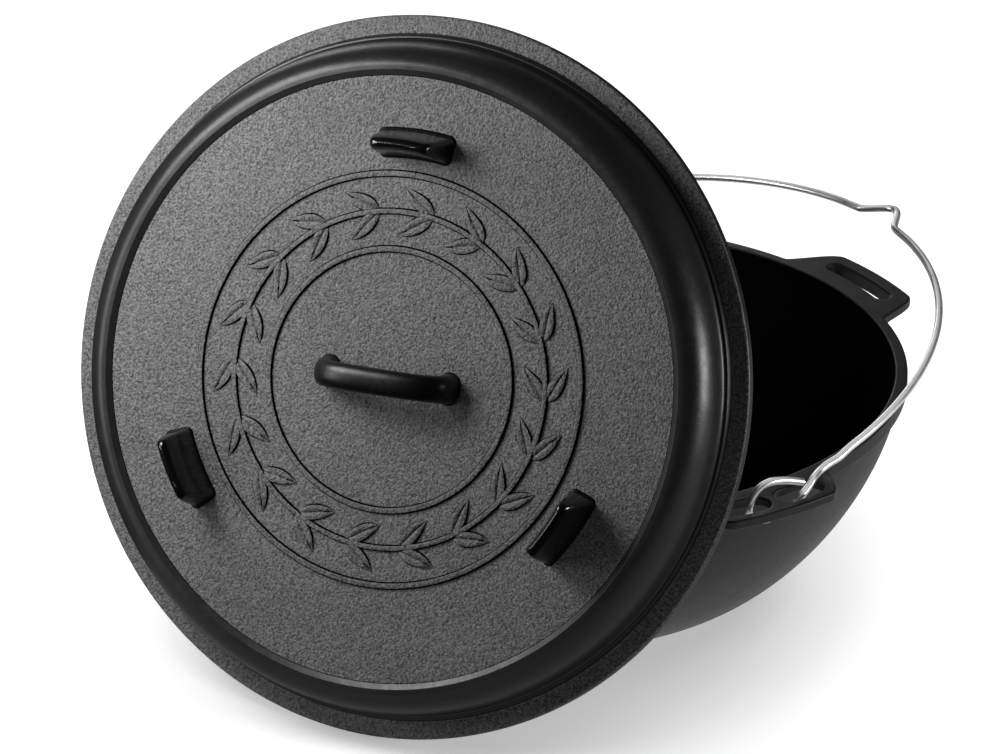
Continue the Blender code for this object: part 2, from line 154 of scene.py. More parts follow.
class CauldronRelief(PropertyGroup):
    ring_radius: length("Ring radius", 0.0850, "Middle of the leaf ring")
    pairs: IntProperty(name="Pairs", description="Pairs of leaves round the ring", default=18, min=3)
    leaf_length: length("Leaf length", 0.0205, "From stalk to tip")
    leaf_width: length("Leaf width", 0.0092, "At the widest place")
    rise: length("Rise", 0.0014, "How far the relief stands over the disc")
    lean: angle_size("Lean", 33.0, "How far a leaf turns from the ring")
    border: length("Border", 0.0190, "From the ring's middle to each border line")
    line_width: length("Line width", 0.0026, "Width of the raised lines")


class CauldronBail(PropertyGroup):
    wire: length("Wire", 0.004, "Diameter of the wire")
    reach: length("Reach", 0.205, "From the hinge line to the top of the arch")
    half_width: length("Half width", 0.184, "Half of the arch's span")
    fold: angle_size("Fold", 10.4, "Angle of the folded bail over the rim's plane")
    bump_height: length("Hanging bump", 0.011, "The kink that hangs on a hook")
    bump_half_width: length("Bump half width", 0.018, "Half of the kink's length")
    eye_half_length: length("Eye half length", 0.0145, "Half of the eye along the rim")
    eye_half_height: length("Eye half height", 0.0134, "Half of the eye's height")
    rest_gap: length("Rest gap", 0.0004, "Between the wire and the lug that it lies on")


class CauldronFinish(PropertyGroup):
    grained: tint("Grained iron", (0.150, 0.150, 0.152), "The lid's disc and flange")
    smooth: tint("Smooth iron", (0.022, 0.022, 0.023), "The shoulder and the outside of the pot")
    black: tint("Black iron", (0.0035, 0.0035, 0.0036), "Handle and feet")
    # Painted shade: this near-black paints shade on the pot's inside, the lid's seam and underside and the
    # relief's sides
    inside: tint("Inside", (0.0015, 0.0015, 0.0015), "The inside of the pot and the sides of the relief")
    steel: tint("Steel", (0.90, 0.90, 0.91), "The bail's wire")
    floor: tint("Floor", (0.86, 0.86, 0.87), "The studio's floor")
    grain_size: length("Grain", 0.0012, "Size of the cast grain")
    steel_gloss: share("Steel roughness", 0.30, "Roughness of the drawn wire")


class CauldronStage(PropertyGroup):
    lens: number("Lens", 280.7, "Focal length in millimetres", min=10.0)
    distance: length("Distance", 3.690, "From the pot's axis to the camera, along the floor")
    side: length("Side", -0.0306, "How far the camera stands to the right of the pot's axis")
    height: length("Height", 1.868, "The camera's height over the floor")
    pitch: angle_size("Pitch", 25.4, "How far the camera looks down")
    turn: angle_size("Turn", -33.2, "The view's bearing round the pot")
    shift_x: number("Shift X", -0.0052, "The picture's shift to the side")
    shift_y: number("Shift Y", -0.0007, "The picture's shift upwards")


GROUPS = {"cauldron_pot": CauldronPot, "cauldron_lid": CauldronLid, "cauldron_grips": CauldronGrips,
          "cauldron_relief": CauldronRelief, "cauldron_bail": CauldronBail,
          "cauldron_finish": CauldronFinish, "cauldron_stage": CauldronStage}


# ---- Making meshes ----

QUARTER = math.pi / 2.0


def polar(radius, angle):
    return radius * math.cos(angle), radius * math.sin(angle)


def bend(x, y, radius, *span):
    """Points on a circle's arc: its middle and radius, then as in arc."""
    return arc((x, y), radius, radius, *span)


def arc(center, radius_x, radius_y, start, end, steps):
    """Points on an ellipse's arc, both ends included; angles in degrees."""
    angles = [math.radians(start + (end - start) * i / steps) for i in range(steps + 1)]
    return [(center[0] + radius_x * math.cos(angle), center[1] + radius_y * math.sin(angle))
            for angle in angles]


def paint(mesh, *materials):
    mesh.materials.clear()
    for material in materials:
        mesh.materials.append(material)


def new_object(name, data, *materials):
    """Puts the data in the scene as an object, in these materials if any."""
    made = bpy.data.objects.new(name, data)
    bpy.context.scene.collection.objects.link(made)
    if materials:
        paint(data, *materials)
    return made


def finished(bm, name):
    """The faces built in bm, as a mesh."""
    mesh = bpy.data.meshes.new(name)
    bm.to_mesh(mesh)
    bm.free()
    return mesh


def path_piece(name, points):
    """A line through the points, for a node tree to work on."""
    mesh = bpy.data.meshes.new(name)
    mesh.from_pydata(points, [(i, i + 1) for i in range(len(points) - 1)], [])
    return new_object(name, mesh)


def evaluated_mesh(piece):
    """The piece as its modifiers leave it, as a plain mesh."""
    bpy.context.view_layer.update()
    graph = bpy.context.evaluated_depsgraph_get()
    shown = piece.evaluated_get(graph)
    return bpy.data.meshes.new_from_object(shown, preserve_all_data_layers=True, depsgraph=graph)


def freeze(piece):
    """Turns a piece with modifiers into a plain mesh at the origin."""
    mesh = evaluated_mesh(piece)
    piece.modifiers.clear()
    piece.data = mesh
    mesh.transform(piece.matrix_world)
    piece.matrix_world = Matrix.Identity(4)
    return piece


def weld(mesh, distance=1e-6):
    """Merges doubled points, points every face outwards and shades it smooth."""
    bm = bmesh.new()
    bm.from_mesh(mesh)
    bmesh.ops.remove_doubles(bm, verts=bm.verts, dist=distance)
    bmesh.ops.dissolve_degenerate(bm, dist=distance, edges=bm.edges)
    bmesh.ops.recalc_face_normals(bm, faces=bm.faces)
    bm.to_mesh(mesh)
    bm.free()
    mesh.shade_smooth()
    return mesh


def soften(piece, angle):
    """Smooth shading that keeps flat faces flat and edges over the angle sharp."""
    piece.data.shade_smooth()
    piece.data.set_sharp_from_angle(angle=math.radians(angle))
    normals = piece.modifiers.new("flat faces stay flat", "WEIGHTED_NORMAL")
    normals.keep_sharp = True
    normals.weight = 60
    return freeze(piece)


def loft(name, rings):
    """A skin over rings of equal count; each end is a fan to its ring's middle."""
    bm = bmesh.new()
    rows = [[bm.verts.new(point) for point in ring] for ring in rings]
    count = len(rows[0])
    for low, high in zip(rows, rows[1:]):
        for i in range(count):
            j = (i + 1) % count
            bm.faces.new((low[i], low[j], high[j], high[i]))
    for row in (rows[0], rows[-1]):
        middle = bm.verts.new(sum((vert.co for vert in row), Vector()) / count)
        for i in range(count):
            bm.faces.new((row[i], row[(i + 1) % count], middle))
    return weld(finished(bm, name))


def signed_power(value, power):
    return math.copysign(abs(value) ** power, value)


def oval_ring(half_x, half_y, power, count):
    """An ellipse, squarer with a lower power, as points round its centre."""
    angles = [math.tau * i / count for i in range(count)]
    return [(half_x * signed_power(math.cos(angle), power), half_y * signed_power(math.sin(angle), power))
            for angle in angles]


# ---- Geometry Nodes ----

class Tree:
    """A node tree with short words for adding, setting and linking nodes."""

    def __init__(self, tree):
        self.tree = tree

    def add(self, kind, inputs=None, **settings):
        node = self.tree.nodes.new(kind)
        for key, value in settings.items():
            setattr(node, key, value)
        for key, value in (inputs or {}).items():
            self.feed(node, key, value)
        return node

    def feed(self, node, key, value):
        """Sets an input, or links it to a socket or to another node's first output."""
        socket = node.inputs[key]
        if isinstance(value, bpy.types.Node):
            self.tree.links.new(value.outputs[0], socket)
        elif isinstance(value, bpy.types.NodeSocket):
            self.tree.links.new(value, socket)
        else:
            socket.default_value = value

    def math(self, operation, *values):
        return self.add("ShaderNodeMath", dict(enumerate(values)), operation=operation)


def geometry_tree(name, *sockets):
    """A modifier's tree with a geometry in and out, the given named sizes and a material."""
    group = bpy.data.node_groups.new(name, "GeometryNodeTree")
    group.interface.new_socket("Geometry", in_out="OUTPUT", socket_type="NodeSocketGeometry")
    for label, kind in (("Geometry", "Geometry"), *sockets, ("Material", "Material")):
        group.interface.new_socket(label, in_out="INPUT", socket_type=f"NodeSocket{kind}")
    tree = Tree(group)
    return tree, tree.add("NodeGroupInput").outputs


def end_tree(tree, given, geometry):
    """The tree's last nodes: real geometry in the given material."""
    real = tree.add("GeometryNodeRealizeInstances", {"Geometry": geometry})
    painted = tree.add("GeometryNodeSetMaterial", {"Geometry": real, "Material": given["Material"]})
    tree.add("NodeGroupOutput", {0: painted})
    return tree


def run_tree(piece, tree, values):
    """Puts the tree on the piece with these named sizes, and freezes the result."""
    modifier = piece.modifiers.new(tree.tree.name, "NODES")
    modifier.node_group = tree.tree
    for item in tree.tree.interface.items_tree:
        if item.item_type == "SOCKET" and item.in_out == "INPUT" and item.name in values:
            modifier[item.identifier] = values[item.name]
    return freeze(piece)


# A profile is turned along a circle this small, and its points on the axis are then merged
AXIS_RADIUS = 1e-5


def turning_tree():
    """Turns a profile, drawn as points in the XZ plane, round the Z axis."""
    tree, given = geometry_tree("Turned iron", ("Segments", "Int"))
    profile = tree.add("GeometryNodeMeshToCurve", {"Mesh": given["Geometry"]})
    flat = tree.add("GeometryNodeTransform", {"Geometry": profile, "Rotation": (QUARTER, 0.0, 0.0)})
    circle = {"Resolution": given["Segments"], "Radius": AXIS_RADIUS}
    path = tree.add("GeometryNodeCurvePrimitiveCircle", circle)
    skin = tree.add("GeometryNodeCurveToMesh", {"Curve": path, "Profile Curve": flat})
    welded = tree.add("GeometryNodeMergeByDistance", {"Geometry": skin, "Distance": 3.0 * AXIS_RADIUS})
    return end_tree(tree, given, welded)


def turned_piece(name, profile, segments, material):
    """A solid of revolution from (radius, height) points."""
    line = path_piece(name, [(radius, 0.0, height) for radius, height in profile])
    piece = run_tree(line, turning_tree(), {"Segments": segments, "Material": material})
    weld(piece.data)
    return piece


def wire_tree():
    """Draws a round wire along a path."""
    tree, given = geometry_tree("Drawn wire", ("Radius", "Float"), ("Sides", "Int"))
    path = tree.add("GeometryNodeMeshToCurve", {"Mesh": given["Geometry"]})
    section = {"Resolution": given["Sides"], "Radius": given["Radius"]}
    circle = tree.add("GeometryNodeCurvePrimitiveCircle", section)
    skin = tree.add("GeometryNodeCurveToMesh", {"Curve": path, "Profile Curve": circle, "Fill Caps": True})
    return end_tree(tree, given, skin)


def garland_tree():
    """Lays the leaf round a ring in leaning pairs, one inwards and one outwards."""
    tree, given = geometry_tree("Leaf ring", ("Pairs", "Int"), ("Radius", "Float"), ("Lean", "Float"))
    step = tree.math("DIVIDE", math.tau, given["Pairs"])
    angle = tree.math("MULTIPLY", tree.add("GeometryNodeInputIndex"), step)
    sides = tree.add("GeometryNodeJoinGeometry")
    ring = {"Vertices": given["Pairs"], "Radius": given["Radius"]}
    for side in (-1.0, 1.0):
        points = tree.add("GeometryNodeMeshCircle", ring, fill_type="NONE")
        lean = tree.math("MULTIPLY", given["Lean"], -side)
        turn = tree.math("ADD", tree.math("ADD", angle, QUARTER), lean)
        spin = tree.add("ShaderNodeCombineXYZ", {"Z": turn})
        leaves = {"Points": points, "Instance": given["Geometry"], "Rotation": spin}
        tree.feed(sides, 0, tree.add("GeometryNodeInstanceOnPoints", leaves))
    return end_tree(tree, given, sides)


# ---- Materials ----

def shader(name, color, roughness, metallic=0.0):
    """Starts a material: its tree, its surface and the object's own coordinates."""
    material = bpy.data.materials.new(name)
    material.use_nodes = True
    material.node_tree.nodes.clear()
    tree = Tree(material.node_tree)
    values = {"Base Color": (*color, 1.0), "Roughness": roughness, "Metallic": metallic}
    surface = tree.add("ShaderNodeBsdfPrincipled", values)
    tree.add("ShaderNodeOutputMaterial", {"Surface": surface})
    where = tree.add("ShaderNodeTexCoord").outputs["Object"]
    return tree, surface, where


def noise(tree, where, size, detail, roughness=0.55):
    values = {"Vector": where, "Scale": 1.0 / size, "Detail": detail, "Roughness": roughness}
    return tree.add("ShaderNodeTexNoise", values)


def spread(tree, value, to_low, to_high, low=0.3, high=0.7):
    """The value's range from low to high, laid on another range."""
    values = {"Value": value, "From Min": low, "From Max": high, "To Min": to_low, "To Max": to_high}
    return tree.add("ShaderNodeMapRange", values)


def mix(tree, first, second, part):
    """Two patterns laid over one another, the second by this part of one."""
    return tree.math("ADD", tree.math("MULTIPLY", first, 1.0 - part), tree.math("MULTIPLY", second, part))


def shade_color(tree, surface, color, amount):
    """The surface's colour, times an amount that varies."""
    mixed = tree.add("ShaderNodeVectorMath", {0: color, "Scale": amount}, operation="SCALE")
    tree.feed(surface, "Base Color", mixed)


def iron_material(name, color, grain_size, roughness, grain_depth, speckle, sheen, wave_depth):
    """Seasoned cast iron: sand grain, a few pits and a slow unevenness of the casting."""
    tree, surface, where = shader(name, color, roughness)
    tree.feed(surface, "Specular IOR Level", sheen)
    fine = noise(tree, where, grain_size, 2.0, 0.6)
    coarse = noise(tree, where, grain_size * 2.4, 2.0, 0.5)
    blotch = noise(tree, where, 0.045, 3.0, 0.5)
    pits = tree.add("ShaderNodeTexVoronoi", {"Vector": where, "Scale": 1.0 / (grain_size * 8.0)})
    pit = spread(tree, pits.outputs["Distance"], -1.0, 0.0, 0.05, 0.15)
    grain = tree.math("ADD", fine, tree.math("MULTIPLY", coarse, 0.5))
    height = tree.math("MULTIPLY", grain, grain_depth)
    for pattern, depth in ((pit, grain_depth * 0.5), (noise(tree, where, 0.018, 1.0), wave_depth)):
        height = tree.math("ADD", height, tree.math("MULTIPLY", pattern, depth))
    bump = tree.add("ShaderNodeBump", {"Height": height, "Strength": 1.0, "Distance": 1.0})
    tree.feed(surface, "Normal", bump)
    shade = spread(tree, mix(tree, fine, coarse, 0.16), 1.0 - speckle, 1.0 + speckle * 1.25, 0.36, 0.64)
    shade_color(tree, surface, color, tree.math("MULTIPLY", shade, spread(tree, blotch, 0.90, 1.10)))
    rough = spread(tree, mix(tree, blotch, coarse, 0.5), roughness - 0.06, roughness + 0.07)
    tree.feed(surface, "Roughness", rough)


def steel_material(name, color, roughness):
    """Bright drawn wire, a little duller in places."""
    tree, surface, where = shader(name, color, roughness, 0.85)
    rough = spread(tree, noise(tree, where, 0.009, 2.0, 0.5), roughness - 0.04, roughness + 0.06)
    tree.feed(surface, "Roughness", rough)
    shade_color(tree, surface, color, spread(tree, noise(tree, where, 0.02, 2.0), 0.92, 1.06))


# Each iron's colour, roughness, depth of grain, speckle, sheen and depth of the casting's waves
IRONS = {
    "grained iron": ("grained", 0.50, 0.00066, 0.62, 0.50, 0.0004),
    "satin iron": ("smooth", 0.34, 0.00004, 0.12, 0.50, 0.0003),
    "pot iron": ("smooth", 0.44, 0.00005, 0.20, 0.22, 0.0004),
    # Painted shade: near-black with little sheen, for the pot's inside, the lid's seam and underside and
    # the relief's sides
    "painted shade black": ("inside", 0.75, 0.00005, 0.10, 0.04, 0.0),
    "black iron": ("black", 0.20, 0.00001, 0.05, 0.85, 0.0002),
    "handle iron": ("black", 0.36, 0.00003, 0.05, 0.60, 0.0002),
}


def finish_materials():
    """Makes each finish once and keeps it by name."""
    looks = bpy.context.scene.cauldron_finish
    for name, (color, *numbers) in IRONS.items():
        if name not in bpy.data.materials:
            iron_material(name, getattr(looks, color), looks.grain_size, *numbers)
    if "drawn steel" not in bpy.data.materials:
        steel_material("drawn steel", looks.steel, looks.steel_gloss)
    return {name: bpy.data.materials[name] for name in (*IRONS, "drawn steel")}


# ---- Pot ----

def bowl_curve(pot, angle, inner, outer, low, high):
    """One point of the bowl's side, which is flat at the bottom and upright at the top."""
    radius = inner + (outer - inner) * math.cos(angle) ** pot.bowl_curve
    height = low + (high - low) * (1.0 - math.sin(angle) ** pot.bowl_curve)
    return radius, height


def pot_profile(pot):
    """Outside from the base up, over the rim and down the inside."""
    round_, top, cove, steps = pot.edge_round, pot.height, 0.0016, 44
    side = pot.rim_radius - pot.rim_overhang
    under_rim = top - pot.rim_depth - pot.rim_overhang
    top_angle = math.asin(((top - under_rim) / top) ** (1.0 / pot.bowl_curve))
    outside = [bowl_curve(pot, QUARTER + (top_angle - QUARTER) * i / steps, pot.base_radius, side, 0.0, top)
               for i in range(steps + 1)]
    base_edge = bend(pot.base_radius - round_, round_, round_, -90, -62, 3)
    under = arc((outside[-1][0] + cove, outside[-1][1]), -cove, cove, 0, 75, 4)
    band = bend(pot.rim_radius - round_, top - pot.rim_depth, round_, -40, 0, 3)
    rim_out = bend(pot.rim_radius - round_, top - round_, round_, 0, 90, 6)
    inner_edge = pot.rim_radius - pot.rim_band
    rim_in = bend(inner_edge + round_, top - round_, round_, 90, 180, 6)
    inside = [bowl_curve(pot, QUARTER * i / steps, pot.base_radius - pot.wall, inner_edge,
                         pot.base_thickness, top - round_) for i in range(1, steps)]
    floor = (pot.base_radius - pot.wall - 0.004, pot.base_radius * 0.4, 0.0)
    inside += [(radius, pot.base_thickness) for radius in floor]
    outer = [(0.0, 0.0), (pot.base_radius * 0.5, 0.0)] + base_edge + outside[3:] + under[1:] + band
    return outer + rim_out + rim_in + inside


def lug_outline(pot):
    """A lug's edge from above, about +X: a long tip that flows into the rim on both sides."""
    points, steps, root_steps, sink = [], 64, 16, 0.0015
    blend = pot.lug_root_angle - pot.lug_tip_angle
    for i in range(steps + 1):
        angle = pot.lug_root_angle * (2.0 * i / steps - 1.0)
        t = min(max((pot.lug_root_angle - abs(angle)) / blend, 0.0), 1.0)
        fall = t * t * (3.0 - 2.0 * t)
        points.append(polar(pot.rim_radius + pot.lug_stand_out * fall - sink * (1.0 - fall), angle))
    root = pot.rim_radius - pot.rim_band * 0.62
    for i in range(root_steps + 1):
        points.append(polar(root, pot.lug_root_angle * (1.0 - 2.0 * i / root_steps)))
    return points


def slot_outline(pot, center, slot_length, width):
    """A slot with round ends, bent to follow the rim."""
    radius = pot.rim_radius + pot.slot_from_rim
    half = (slot_length - width) / 2.0 / radius
    points, side_steps, end_steps = [], 16, 14
    for end in (1, -1):
        for i in range(side_steps + 1):
            along = center + end * half * (2.0 * i / side_steps - 1.0)
            points.append(Vector(polar(radius + end * width / 2.0, along)))
        tip_angle = center + end * half
        tip = Vector(polar(radius, tip_angle))
        for i in range(1, end_steps):
            turn = tip_angle + (0.0 if end > 0 else math.pi) + math.pi * i / end_steps
            points.append(tip + Vector(polar(width / 2.0, turn)))
    return points


def plate(outlines, bottom, top, edge):
    """A flat plate with holes and rounded edges, from a filled curve."""
    curve = bpy.data.curves.new("plate", "CURVE")
    curve.dimensions = "2D"
    curve.fill_mode = "BOTH"
    curve.bevel_depth = edge
    curve.bevel_resolution = 3
    curve.extrude = (top - bottom) / 2.0 - edge
    curve.offset = -edge
    for outline in outlines:
        spline = curve.splines.new("POLY")
        spline.points.add(len(outline) - 1)
        for point, (x, y) in zip(spline.points, outline):
            point.co = (x, y, 0.0, 1.0)
        spline.use_cyclic_u = True
    drawn = new_object("plate", curve)
    mesh = evaluated_mesh(drawn)
    bpy.data.objects.remove(drawn)
    mesh.transform(Matrix.Translation((0.0, 0.0, (bottom + top) / 2.0)))
    return weld(mesh, 1e-5)


def joined(pieces):
    """Cuts the first piece's skin to fit the others' and makes them one body."""
    main = pieces[0]
    for other in pieces[1:]:
        union = main.modifiers.new("cast in one", "BOOLEAN")
        union.operation = "UNION"
        union.object = other
    freeze(main)
    for other in pieces[1:]:
        bpy.data.objects.remove(other)
    return main


LUG_EDGE = 0.0010
COLLAR_EDGE = 0.0008
COLLAR_OVERLAP = 0.0015


def make_pot(pot, finish):
    """The bowl and its lugs in one. A grip lug also has a collar under its slot."""
    pieces = [turned_piece("pot_shell", pot_profile(pot), pot.segments, finish["pot iron"])]
    offset = (pot.web_width + pot.bail_slot_length) / 2.0 / (pot.rim_radius + pot.slot_from_rim)
    lug = lug_outline(pot)
    slot = slot_outline(pot, 0.0, pot.grip_slot_length, pot.grip_slot_width)
    wider = 2.0 * pot.collar_width
    collar = slot_outline(pot, 0.0, pot.grip_slot_length + wider, pot.grip_slot_width + wider)
    bail_slots = [slot_outline(pot, side * offset, pot.bail_slot_length, pot.bail_slot_width)
                  for side in (-1, 1)]
    top = pot.height - 0.00005  # so that no face lies in the rim's own plane
    under = top - pot.lug_thickness
    grip = [([lug, slot], under, top, LUG_EDGE),
            ([collar, slot], under - pot.grip_collar, under + COLLAR_OVERLAP, COLLAR_EDGE)]
    ear = [([lug, *bail_slots], under, top, LUG_EDGE)]
    for quarter, plates in enumerate((grip, ear, grip, ear)):
        for shape in plates:
            mesh = plate(*shape)
            mesh.transform(Matrix.Rotation(quarter * QUARTER, 4, "Z"))
            pieces.append(new_object("lug", mesh))
    shell = joined(pieces)
    weld(shell.data)
    paint(shell.data, finish["pot iron"], finish["painted shade black"])
    # Painted shade: the faces of the pot's inside walls and floor are painted black
    inner, floor = pot.rim_radius - pot.rim_band + 0.0002, pot.base_thickness * 0.9
    for face in shell.data.polygons:
        middle = face.center
        inward = face.normal.x * middle.x + face.normal.y * middle.y < 0.0 or face.normal.z > 0.99
        face.material_index = int(math.hypot(middle.x, middle.y) < inner and middle.z > floor and inward)
    return soften(shell, 38.0)


# ---- Lid ----

def lid_place(lid):
    """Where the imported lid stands. Its own axis is the way it lifts off."""
    normal = Vector(JOINTS["lid"]["axis"]).normalized()
    across = Vector((0.0, 0.0, 1.0)).cross(normal).normalized()
    turn = Matrix((across, normal.cross(across), normal))
    points = [turn @ vertex.co for vertex in frame["nodes"]["lid"].data.vertices]
    x, y, z = zip(*points)
    center = Vector(((min(x) + max(x)) / 2.0, (min(y) + max(y)) / 2.0, min(z) + lid.lip_depth))
    turned = turn.transposed()
    return Matrix.Translation(turned @ center) @ turned.to_4x4() @ Matrix.Rotation(lid.spin, 4, "Z")


def disc_height(lid):
    return lid.crest_height - lid.disc_recess


def disc_place(lid):
    """The middle of the disc's face, where the handle, the feet and the relief stand."""
    return lid_place(lid) @ Matrix.Translation((0.0, 0.0, disc_height(lid)))


def lid_profile(lid):
    """Underside from the middle out, round the flange, and back over the shoulder to the disc."""
    lip_round, low_round, high_round, step_round = 0.0008, 0.0012, 0.0013, 0.0009
    crest_round, disc_round = 0.0006, 0.0005
    thickness, face, lip_level = lid.flange_thickness, disc_height(lid), -lid.lip_depth + lip_round
    roof, roof_edge = face - lid.wall, lid.disc_radius - lid.wall - 0.004
    lip_inner = lid.lip_outer - lid.lip_thickness
    step_top = thickness + lid.step_height
    ledge, step_foot = lid.step_radius - lid.step_bevel, lid.step_radius + step_round
    under = [(0.0, roof), (lid.disc_radius * 0.5, roof), (roof_edge, roof)]
    under += bend(roof_edge, roof - 0.008, 0.008, 75, 40, 5)
    under += [(lip_inner, thickness)]
    under += bend(lip_inner + lip_round, lip_level, -lip_round, 0, 90, 3)
    under += bend(lid.lip_outer - lip_round, lip_level, lip_round, -90, 0, 3)
    under += [(lid.lip_outer, -0.0005), (lid.lip_outer + 0.0005, 0.0)]
    flange = bend(lid.radius - low_round, low_round, low_round, -90, 0, 5)
    flange += bend(lid.radius - high_round, thickness - high_round, high_round, 0, 90, 6)
    flange += [(step_foot, thickness)]
    flange += bend(step_foot, thickness + step_round, -step_round, 90, 48, 3)
    step = bend(ledge - 0.0003, step_top - step_round, step_round, 15, 90, 6)
    cove_foot = ledge - 0.0004
    cove = arc((cove_foot, lid.side_height), lid.side_radius - cove_foot,
               step_top - lid.side_height, 90, 0, 16)
    shoulder = arc((lid.crest_radius, lid.side_height), lid.side_radius - lid.crest_radius,
                   lid.crest_height - lid.side_height, 0, 90, 24)
    inner = lid.disc_radius + lid.disc_bevel
    crest = bend(inner + crest_round, lid.crest_height - crest_round, crest_round, 92, 140, 4)
    foot = bend(lid.disc_radius - 0.0002, face + disc_round, disc_round, -40, -90, 3)
    disc = [(lid.disc_radius * part, face) for part in (0.9, 0.6, 0.3, 0.0)]
    return under + flange + step + cove[1:] + shoulder[1:] + crest + foot + disc


def lid_finish_and_shade(lid, face):
    """Which finish a face has: 0 satin, 1 grained, 2 painted shade, black in the seam round the disc and
    underneath.
    """
    radius = math.hypot(face.center.x, face.center.y)
    outwards = face.normal.x * face.center.x + face.normal.y * face.center.y > 0.0
    if face.normal.z > 0.5 and (radius < lid.disc_radius - 0.0004 or radius > lid.step_radius):
        return 1
    # Painted shade: black in the seam round the disc
    if radius < lid.disc_radius + lid.disc_bevel * 0.4 and face.normal.z > 0.0:
        return 2
    # Painted shade: black on the lid's hollow underside
    below = face.center.z < disc_height(lid) - lid.wall * 0.9 and face.normal.z < 0.6
    side = radius > lid.side_radius - 0.001 and face.center.z > lid.flange_thickness
    return 2 if below and radius < lid.step_radius - lid.step_bevel and not (side or outwards) else 0


def make_lid(lid, finish):
    shell = turned_piece("lid_shell", lid_profile(lid), lid.segments, finish["satin iron"])
    # Painted shade: the third material paints the seam round the disc and the underside black
    paint(shell.data, finish["satin iron"], finish["grained iron"], finish["painted shade black"])
    for face in shell.data.polygons:
        face.material_index = lid_finish_and_shade(lid, face)
    shell = soften(shell, 50.0)
    shell.data.transform(lid_place(lid))
    return shell


def along_table(keys, values, key):
    """The value at a key, on straight lines between the given ones."""
    for low, high, start, end in zip(keys, keys[1:], values, values[1:]):
        if key <= high:
            return start + (end - start) * (key - low) / (high - low)
    return values[-1]


def fillet_spread(height, radius):
    """How far a fillet of this radius stands out at a height over the disc."""
    if height >= radius:
        return 0.0
    return radius - math.sqrt(max(radius * radius - (radius - max(height, 0.0)) ** 2, 0.0))


# How deep the castings start in the disc, and the heights over it at which fillets are cut
SUNK = 0.0003
FILLET_LEVELS = (0.0003, 0.0007, 0.0012, 0.0018, 0.0026)


def handle_mesh(grips):
    """A bow from one flared root up, level over the disc and down to the other."""
    middle = grips.handle_height - grips.handle_thickness / 2.0
    half = (grips.handle_length - grips.handle_thickness * grips.handle_flare) / 2.0
    rings, steps, sides, squareness = [], 72, 36, grips.handle_squareness

    def bow(angle):
        return Vector((-half * signed_power(math.cos(angle), squareness), 0.0,
                       middle * max(math.sin(angle), 0.0) ** squareness))

    levels = [math.pi * i / steps for i in range(1, steps)]
    roots = [math.asin(min((level / middle) ** (1.0 / squareness), 1.0))
             for level in (0.0, *FILLET_LEVELS, 0.0036)]
    ups = [a for a in levels if roots[-1] < a < math.pi - roots[-1]]
    for angle in roots + ups + [math.pi - a for a in reversed(roots)]:
        place = bow(angle)
        tangent = (bow(min(angle + 0.004, math.pi)) - bow(max(angle - 0.004, 0.0))).normalized()
        if angle < 0.02 or angle > math.pi - 0.02:  # the roots stand upright
            tangent = Vector((0.0, 0.0, 1.0 if angle < 1.0 else -1.0))
        normal = Vector((-tangent.z, 0.0, tangent.x))
        low = 1.0 - place.z / middle
        flare = 1.0 + (grips.handle_flare - 1.0) * low ** 2
        skirt = fillet_spread(place.z, grips.fillet * 0.5)
        ring = oval_ring(grips.handle_thickness / 2.0 * flare + skirt,
                         grips.handle_width / 2.0 * flare + skirt, 0.86, sides)
        rings.append([place + normal * a + Vector((0.0, b, 0.0)) for a, b in ring])
    below = Vector((0.0, 0.0, SUNK))
    rings = [[point - below for point in rings[0]]] + rings + [[point - below for point in rings[-1]]]
    return loft("lid_handle", rings)


def foot_ring(grips, half_width, half_length, corner, level):
    """One level of a foot: a rectangle with round corners, bent along the circle of feet."""
    corner = min(corner, half_width * 0.95)
    flat, outline, corner_steps = half_length - corner, [], 6
    for side in (1, -1):
        outline += [(side * half_width, side * flat * i / 7.0) for i in range(-6, 7, 2)]
        for quarter, sign in ((0, 1.0), (1, -1.0)):
            for i in range(corner_steps + 1):
                angle = QUARTER * (quarter + i / corner_steps)
                outline.append((side * (sign * (half_width - corner) + corner * math.cos(angle)),
                                side * (flat + corner * math.sin(angle))))
    ring = []
    for x, y in outline:
        along, out = polar(grips.foot_circle + x, y / grips.foot_circle)
        ring.append(Vector((along - grips.foot_circle, out, level)))
    return ring


def foot_mesh(grips, name):
    """A foot that narrows to a rounded ridge, with sloping ends."""
    narrowing = (grips.foot_width - grips.foot_ridge) / 2.0
    shares = (0.0, 0.35, 0.72, 0.88, 0.93, 0.965, 0.985, 0.996, 1.0)
    narrow = (0.0, 0.38, 0.72, 0.98, 1.14, 1.34, 1.52, 1.68, 1.80)
    shorten = (0.0, 0.30, 0.70, 1.00, 1.20, 1.50, 1.85, 2.3, 2.9)
    sides = (0.18, 0.26, 0.35, 0.45, 0.54, 0.63, 0.72, 0.80, *shares[3:])
    rings = []
    for level in (-SUNK, 0.0, *FILLET_LEVELS, *(grips.foot_height * share for share in sides)):
        at = max(level, 0.0) / grips.foot_height
        skirt = fillet_spread(level, grips.fillet)
        taper = grips.foot_end_taper * along_table(shares, shorten, at)
        half_width = grips.foot_width / 2.0 - narrowing * along_table(shares, narrow, at) + skirt
        half_length = grips.foot_length / 2.0 + skirt - taper
        rings.append(foot_ring(grips, half_width, half_length, grips.foot_corner + skirt, level))
    return loft(name, rings)


def make_grips(lid, grips, finish):
    """The handle and the three feet, on the disc."""
    place = disc_place(lid)
    handle = new_object("lid_handle", handle_mesh(grips), finish["handle iron"])
    handle.data.transform(place)
    pieces = [handle]
    for i in range(3):
        angle = QUARTER + math.tau * i / 3
        foot = new_object(f"lid_foot_{i + 1}", foot_mesh(grips, "lid_foot"), finish["black iron"])
        spot = Matrix.Translation((grips.foot_circle, 0.0, 0.0))
        foot.data.transform(place @ Matrix.Rotation(angle, 4, "Z") @ spot)
        pieces.append(foot)
    return pieces


# ---- Relief on the disc ----

